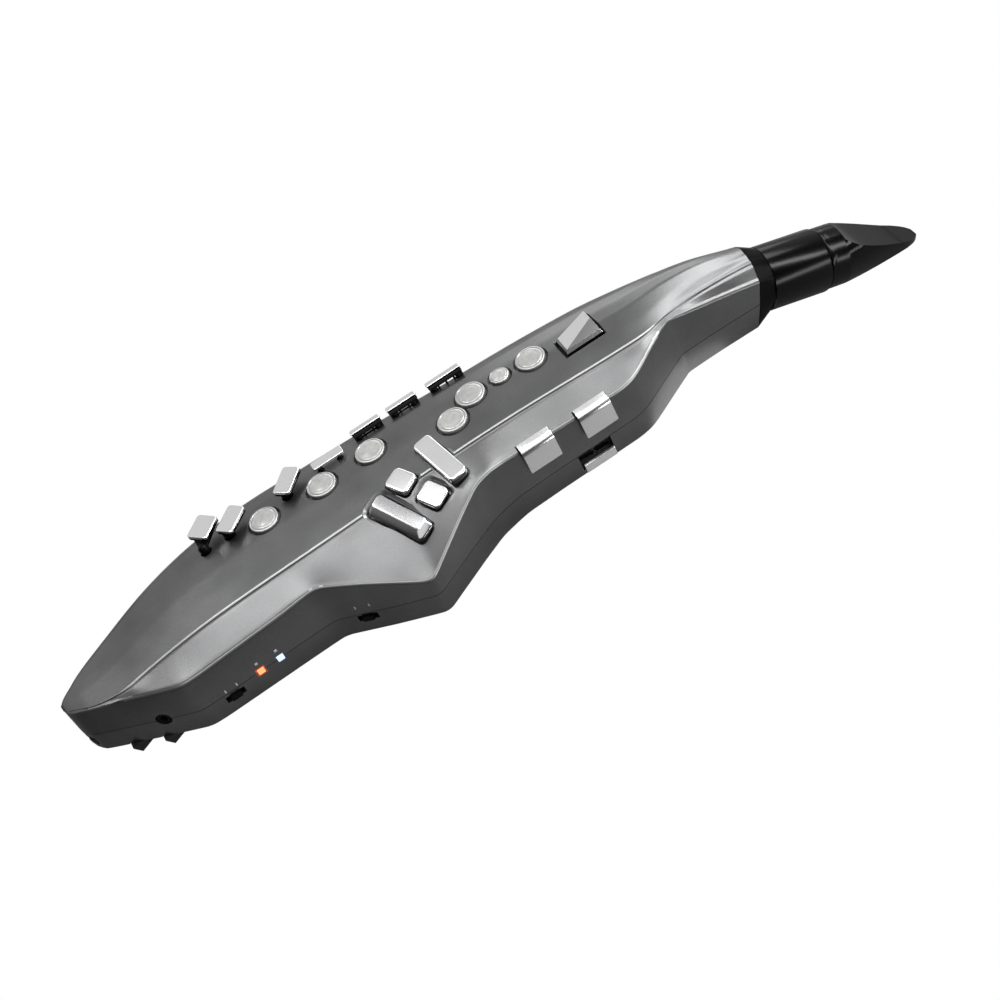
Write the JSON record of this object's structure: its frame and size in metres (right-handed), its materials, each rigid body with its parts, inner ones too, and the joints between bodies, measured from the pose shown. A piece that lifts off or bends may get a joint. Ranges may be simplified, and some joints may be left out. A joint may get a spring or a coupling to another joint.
{
  "type": "digital wind controller",
  "caption": "Hand-held electronic wind instrument: long faceted grey body, sprung front, side and palm keys, tilted reed mouthpiece, thumb hook and strap ring",
  "frame": {"origin": "middle of the square pad on the flat back, on the back face", "axes": "+X runs along the body to the mouthpiece, +Y to the far side with the small side keys, +Z out of the front panel"},
  "size_m": [0.4686, 0.1023, 0.0708],
  "materials": {
    "panel": "satin metallic dark grey paint",
    "chrome_key": "bright chrome-look plating on plastic",
    "round_cap": "satin light grey",
    "gloss_black": "gloss black",
    "matt_black": "matt black",
    "rubber_black": "matt black rubber",
    "board": "green solder mask on glass-fibre board",
    "cell": "printed-free silver jacket, stands for the mean density of an AA cell",
    "steel": "plain steel",
    "amber_lens": "amber light pipe",
    "blue_lens": "pale blue light pipe",
    "speaker_mix": "black basket and magnet; light metal stands for the mix of magnet, basket and air"
  },
  "bodies": {
    "case": {"neck_collar": "matt_black", "mouthpiece_sleeve": "gloss_black", "mouthpiece": "gloss_black", "reed": "matt_black", "air_tube": "rubber_black", "breath_sensor": "matt_black", "thumb_rest": "rubber_black", "tail_foot_1": "rubber_black", "tail_foot_2": "rubber_black", "battery_cell_1": "cell", "battery_cell_2": "cell", "battery_cell_3": "cell", "battery_cell_4": "cell", "battery_cell_5": "cell", "battery_cell_6": "cell", "main_board": "board", "speaker": "speaker_mix", "case_screw_1": "steel", "case_screw_2": "steel", "case_screw_3": "steel", "case_screw_4": "steel", "hook_rail": "matt_black", "power_light": "amber_lens", "link_light": "blue_lens", "phones_jack": "matt_black", "usb_port": "matt_black", "upper_shell": "panel", "lower_shell": "panel"},
    "low_key_1": {"low_key_1": "round_cap"},
    "low_key_2": {"low_key_2": "round_cap"},
    "low_key_3": {"low_key_3": "round_cap"},
    "upper_key_1": {"upper_key_1": "round_cap"},
    "upper_key_2": {"upper_key_2": "round_cap"},
    "trill_key": {"trill_key": "round_cap"},
    "upper_key_3": {"upper_key_3": "round_cap"},
    "table_key_upper": {"table_key_upper": "chrome_key"},
    "table_key_left": {"table_key_left": "chrome_key"},
    "table_key_right": {"table_key_right": "chrome_key"},
    "table_key_lower": {"table_key_lower": "chrome_key"},
    "thumb_ramp_key": {"thumb_ramp_key": "chrome_key"},
    "side_lever_1": {"side_lever_1": "chrome_key"},
    "side_lever_2": {"side_lever_2": "chrome_key"},
    "side_lever_3": {"side_lever_3": "chrome_key"},
    "side_strip_1": {"side_strip_1": "chrome_key"},
    "side_strip_2": {"side_strip_2": "chrome_key"},
    "side_strip_3": {"side_strip_3": "chrome_key"},
    "side_strip_4": {"side_strip_4": "chrome_key"},
    "octave_key_low": {"octave_key_low": "chrome_key"},
    "octave_key_high": {"octave_key_high": "chrome_key"},
    "octave_key_third": {"octave_key_third": "chrome_key"},
    "function_button_1": {"function_button_1": "matt_black"},
    "function_button_2": {"function_button_2": "matt_black"},
    "low_palm_key": {"low_palm_key": "chrome_key"},
    "palm_key_1": {"palm_key_1": "chrome_key"},
    "palm_key_2": {"palm_key_2": "chrome_key"},
    "power_slider": {"power_slider": "round_cap"},
    "bite_slider": {"bite_slider": "round_cap"},
    "thumb_hook": {"thumb_hook": "matt_black"},
    "strap_ring": {"strap_ring": "steel"},
    "battery_cover": {"battery_cover": "matt_black"}
  },
  "joints": [
    {"name": "low_key_1_press", "type": "slide", "parent": "case", "child": "low_key_1", "axis": [0, 0, -1], "range_m": [0, 0.0015], "stiffness_N_per_m": 200, "springref_m": -0.003},
    {"name": "low_key_2_press", "type": "slide", "parent": "case", "child": "low_key_2", "axis": [0, 0, -1], "range_m": [0, 0.0015], "stiffness_N_per_m": 200, "springref_m": -0.003},
    {"name": "low_key_3_press", "type": "slide", "parent": "case", "child": "low_key_3", "axis": [0, 0, -1], "range_m": [0, 0.0015], "stiffness_N_per_m": 200, "springref_m": -0.003},
    {"name": "upper_key_1_press", "type": "slide", "parent": "case", "child": "upper_key_1", "axis": [0, 0, -1], "range_m": [0, 0.0015], "stiffness_N_per_m": 200, "springref_m": -0.003},
    {"name": "upper_key_2_press", "type": "slide", "parent": "case", "child": "upper_key_2", "axis": [0, 0, -1], "range_m": [0, 0.0015], "stiffness_N_per_m": 200, "springref_m": -0.003},
    {"name": "trill_key_press", "type": "slide", "parent": "case", "child": "trill_key", "axis": [0, 0, -1], "range_m": [0, 0.0015], "stiffness_N_per_m": 200, "springref_m": -0.003},
    {"name": "upper_key_3_press", "type": "slide", "parent": "case", "child": "upper_key_3", "axis": [0, 0, -1], "range_m": [0, 0.0015], "stiffness_N_per_m": 200, "springref_m": -0.003},
    {"name": "table_key_upper_press", "type": "slide", "parent": "case", "child": "table_key_upper", "axis": [0, 0.1045, -0.9945], "range_m": [0, 0.0015], "stiffness_N_per_m": 200, "springref_m": -0.003},
    {"name": "table_key_left_press", "type": "slide", "parent": "case", "child": "table_key_left", "axis": [0, 0.1392, -0.9903], "range_m": [0, 0.0015], "stiffness_N_per_m": 200, "springref_m": -0.003},
    {"name": "table_key_right_press", "type": "slide", "parent": "case", "child": "table_key_right", "axis": [0, 0.2588, -0.9659], "range_m": [0, 0.0015], "stiffness_N_per_m": 200, "springref_m": -0.003},
    {"name": "table_key_lower_press", "type": "slide", "parent": "case", "child": "table_key_lower", "axis": [0, 0.2588, -0.9659], "range_m": [0, 0.0015], "stiffness_N_per_m": 200, "springref_m": -0.003},
    {"name": "thumb_ramp_key_press", "type": "slide", "parent": "case", "child": "thumb_ramp_key", "axis": [0, 0, -1], "range_m": [0, 0.0015], "stiffness_N_per_m": 200, "springref_m": -0.003},
    {"name": "side_lever_1_press", "type": "slide", "parent": "case", "child": "side_lever_1", "axis": [0, 0, -1], "range_m": [0, 0.0015], "stiffness_N_per_m": 200, "springref_m": -0.003},
    {"name": "side_lever_2_press", "type": "slide", "parent": "case", "child": "side_lever_2", "axis": [0, 0, -1], "range_m": [0, 0.0015], "stiffness_N_per_m": 200, "springref_m": -0.003},
    {"name": "side_lever_3_press", "type": "slide", "parent": "case", "child": "side_lever_3", "axis": [0, 0, -1], "range_m": [0, 0.0015], "stiffness_N_per_m": 200, "springref_m": -0.003},
    {"name": "side_strip_1_press", "type": "slide", "parent": "case", "child": "side_strip_1", "axis": [0, 0, -1], "range_m": [0, 0.0015], "stiffness_N_per_m": 200, "springref_m": -0.003},
    {"name": "side_strip_2_press", "type": "slide", "parent": "case", "child": "side_strip_2", "axis": [0, 0, -1], "range_m": [0, 0.0015], "stiffness_N_per_m": 200, "springref_m": -0.003},
    {"name": "side_strip_3_press", "type": "slide", "parent": "case", "child": "side_strip_3", "axis": [0, 0, -1], "range_m": [0, 0.0015], "stiffness_N_per_m": 200, "springref_m": -0.003},
    {"name": "side_strip_4_press", "type": "slide", "parent": "case", "child": "side_strip_4", "axis": [0, 0, -1], "range_m": [0, 0.0015], "stiffness_N_per_m": 200, "springref_m": -0.003},
    {"name": "octave_key_low_press", "type": "slide", "parent": "case", "child": "octave_key_low", "axis": [0, 0, 1], "range_m": [0, 0.0015], "stiffness_N_per_m": 200, "springref_m": -0.003},
    {"name": "octave_key_high_press", "type": "slide", "parent": "case", "child": "octave_key_high", "axis": [0, 0, 1], "range_m": [0, 0.0015], "stiffness_N_per_m": 200, "springref_m": -0.003},
    {"name": "octave_key_third_press", "type": "slide", "parent": "case", "child": "octave_key_third", "axis": [0, 0, 1], "range_m": [0, 0.0015], "stiffness_N_per_m": 200, "springref_m": -0.003},
    {"name": "function_button_1_press", "type": "slide", "parent": "case", "child": "function_button_1", "axis": [0, 0, 1], "range_m": [0, 0.0015], "stiffness_N_per_m": 200, "springref_m": -0.003},
    {"name": "function_button_2_press", "type": "slide", "parent": "case", "child": "function_button_2", "axis": [0, 0, 1], "range_m": [0, 0.0015], "stiffness_N_per_m": 200, "springref_m": -0.003},
    {"name": "low_palm_key_press", "type": "slide", "parent": "case", "child": "low_palm_key", "axis": [0, 1, 0], "range_m": [0, 0.0015], "stiffness_N_per_m": 200, "springref_m": -0.003},
    {"name": "palm_key_1_rock", "type": "hinge", "parent": "case", "child": "palm_key_1", "pos_m": [0.01463, -0.03315, 0.03522], "axis": [1, 0, 0], "range_deg": [0, 4], "stiffness_Nm_per_rad": 0.04, "springref_deg": -11.46},
    {"name": "palm_key_2_rock", "type": "hinge", "parent": "case", "child": "palm_key_2", "pos_m": [0.04522, -0.03295, 0.03387], "axis": [1, 0, 0], "range_deg": [0, 4], "stiffness_Nm_per_rad": 0.04, "springref_deg": -11.46},
    {"name": "power_slider_travel", "type": "slide", "parent": "case", "child": "power_slider", "axis": [0.9998, 0.0193, 0], "range_m": [-0.002, 0.002]},
    {"name": "bite_slider_travel", "type": "slide", "parent": "case", "child": "bite_slider", "axis": [0.8849, -0.4657, 0], "range_m": [-0.002, 0.002]},
    {"name": "thumb_hook_travel", "type": "slide", "parent": "case", "child": "thumb_hook", "axis": [1, 0, 0], "range_m": [-0.006, 0.006]},
    {"name": "strap_ring_swing", "type": "hinge", "parent": "case", "child": "strap_ring", "pos_m": [-0.02001, -0.008, -0.0043], "axis": [0, 1, 0], "range_deg": [-80, 80]},
    {"name": "battery_cover_hinge", "type": "hinge", "parent": "case", "child": "battery_cover", "pos_m": [-0.18442, -0.001, 0.001], "axis": [0, 1, 0], "range_deg": [0, 100]}
  ]
}
